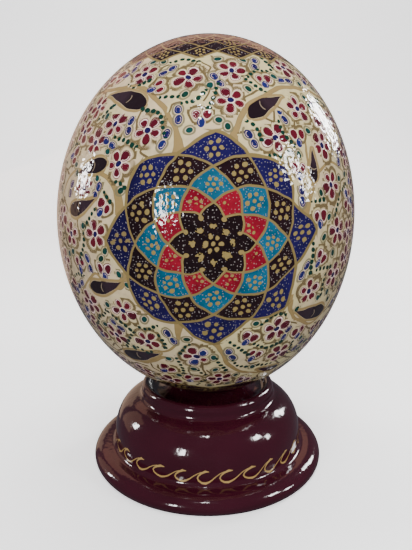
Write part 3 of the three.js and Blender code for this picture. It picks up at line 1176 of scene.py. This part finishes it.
flange_middle = flange_radius - flange_edge_width
foot_angle = math.degrees(math.asin(flange_edge_z / flange_edge_height))
cove_middle = dome_radius + cove_radius
cove_z = flange_edge_z + flange_edge_height + cove_radius
shoulder_end_radius = lip_outer_radius + 1.6 * mm
shoulder_share = (shoulder_end_radius - dome_top_radius) / (dome_radius - dome_top_radius)
shoulder_angle = math.acos(shoulder_share ** (1 / dome_fullness))
lip_middle = (lip_outer_radius + lip_inner_radius) / 2
lip_half_width = (lip_outer_radius - lip_inner_radius) / 2
lip_z = lip_top_z - lip_half_height

profile = [(0.0, 0.0)]
profile += turned_arc(flange_middle, flange_edge_z, flange_edge_width, flange_edge_height,
                      -foot_angle, 90, 20)
profile += turned_arc(cove_middle, cove_z, cove_radius, cove_radius, -90, -180, 8)
for i in range(37):
    angle = shoulder_angle * i / 36
    profile.append((dome_top_radius + (dome_radius - dome_top_radius) * math.cos(angle) ** dome_fullness,
                    dome_z + (dome_top_z - dome_z) * math.sin(angle) ** dome_fullness))
groove_start = profile[-1]
groove_middle = (lip_outer_radius - groove_depth, lip_z - 0.95 * lip_half_height)
lip_arc = turned_arc(lip_middle, lip_z, lip_half_width, lip_half_height, 5, 180, 20)
for i in range(1, 8):
    t = i / 8
    profile.append(tuple((1 - t) ** 2 * start + 2 * t * (1 - t) * low + t * t * end
                         for start, low, end in zip(groove_start, groove_middle, lip_arc[0])))
profile += lip_arc
for i in range(13):
    rise = (1 - math.cos(math.pi * i / 12)) / 2
    profile.append((dish_floor_radius + (seat_radius - dish_floor_radius) * i / 12,
                    dish_floor_z + (seat_z(seat_radius) - dish_floor_z) * rise))
for i in range(1, 7):
    profile.append((seat_radius * (1 - i / 6), seat_z(seat_radius * (1 - i / 6))))

stand_bmesh = bmesh.new()
profile_verts = [stand_bmesh.verts.new((radius, 0.0, z)) for radius, z in profile]
profile_edges = [stand_bmesh.edges.new(pair) for pair in zip(profile_verts, profile_verts[1:])]
bmesh.ops.spin(stand_bmesh, geom=profile_verts + profile_edges, cent=(0, 0, 0), axis=(0, 0, 1),
               angle=2 * math.pi, steps=turning_steps, use_merge=True, use_duplicate=False)
bmesh.ops.remove_doubles(stand_bmesh, verts=stand_bmesh.verts, dist=1e-6)
bmesh.ops.recalc_face_normals(stand_bmesh, faces=stand_bmesh.faces)
lacquered_stand, stand_mesh = made_of(stand_bmesh, "lacquered_stand")

lacquer, lacquer_shader = coat(stand_mesh, "maroon gloss lacquer")
wood = Paintbox(lacquer.node_tree)
lacquer_place = wood.node("ShaderNodeTexCoord").outputs["Object"]
depth = wood.noise(lacquer_place, 40.0, 3.0)[0]
deep_maroon = (0.02, 0.0016, 0.0045, 1.0)
bright_maroon = (0.036, 0.0042, 0.0105, 1.0)
lacquer_colour = wood.layer(deep_maroon, bright_maroon, depth)

# The scroll: each stroke starts at a hooked head, swings back and down, and runs on up
# into the next head. It is drawn as distances in mm in one flat repeat of the border.
scroll_repeats = 28
scroll_foot_z = 8.9
scroll_radius_mm = 43.0
scroll_start = 0.37
scroll_wobble_along, scroll_wobble_up = 2.4, 1.6
scroll_gold = (0.31, 0.2, 0.068, 1.0)
place_x, place_y, place_z = wood.split(lacquer_place)
round_turn = wood.over(wood.sum("ARCTAN2", place_x, wood.times(place_y, -1.0)), 2 * math.pi)
repeat_mm = 2 * math.pi * scroll_radius_mm / scroll_repeats
wobble_x, wobble_y, wobble_z = wood.split(wood.noise(lacquer_place, 90.0, 1.0)[1])
scroll_along = wood.add(wood.times(round_turn, scroll_repeats * repeat_mm),
                        wood.times(wood.less(wobble_x, 0.5), scroll_wobble_along))
scroll_along = wood.less(scroll_along, repeat_mm * scroll_start)
scroll_x = wood.less(wood.sum("FLOORED_MODULO", scroll_along, repeat_mm), repeat_mm / 2)
scroll_y = wood.less(wood.times(place_z, 1 / mm), scroll_foot_z)
scroll_y = wood.add(scroll_y, wood.times(wood.less(wobble_y, 0.5), scroll_wobble_up))


def brush_line(box, x, y, start, end, start_half, end_half):
    """Distance outside a straight brush mark that widens from one end to the other."""
    run, rise = end[0] - start[0], end[1] - start[1]
    length_squared = run * run + rise * rise
    along, up = box.less(x, start[0]), box.less(y, start[1])
    share = box.over(box.add(box.times(along, run), box.times(up, rise)), length_squared)
    share = box.sum("MINIMUM", box.sum("MAXIMUM", share, 0.0), 1.0)
    off = box.length(box.less(along, box.times(share, run)), box.less(up, box.times(share, rise)))
    return box.less(off, box.add(start_half, box.times(share, end_half - start_half)))


# Head, back, foot and tail of one stroke, each with the brush's half width there.
scroll_marks = [((1.9, 4.9), 0.2), ((0.4, 5.0), 0.62), ((-1.3, 4.2), 0.5), ((-2.5, 3.0), 0.36),
                ((-2.9, 1.9), 0.34), ((-2.3, 0.9), 0.4), ((-1.0, 0.2), 0.5), ((0.6, 0.0), 0.55),
                ((2.1, 0.4), 0.46), ((3.6, 1.3), 0.36), ((5.1, 2.6), 0.27), ((6.6, 3.8), 0.22),
                ((8.2, 4.6), 0.2), ((9.7, 4.9), 0.2)]
scroll_weight = 0.78
scroll_edge = 9.0
for shift in (-repeat_mm, 0.0, repeat_mm):
    shifted_x = wood.less(scroll_x, shift)
    for (start, start_half), (end, end_half) in zip(scroll_marks, scroll_marks[1:]):
        mark_edge = brush_line(wood, shifted_x, scroll_y, start, end,
                               start_half * scroll_weight, end_half * scroll_weight)
        scroll_edge = wood.sum("MINIMUM", scroll_edge, mark_edge)
scroll_mask = wood.below(scroll_edge, 0.0, 0.12)
lacquer_colour = wood.layer(lacquer_colour, scroll_gold, scroll_mask)
wood.feed(lacquer_shader.inputs["Base Color"], lacquer_colour)
lacquer_shader.inputs["Roughness"].default_value = 0.1
lacquer_shader.inputs["IOR"].default_value = 1.6
grain = wood.noise(lacquer_place, 260.0, 2.0)[0]
wood.feed(lacquer_shader.inputs["Normal"], wood.bump(grain, 0.45, 0.3 * mm))

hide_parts("stand")
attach(lacquered_stand, "root")
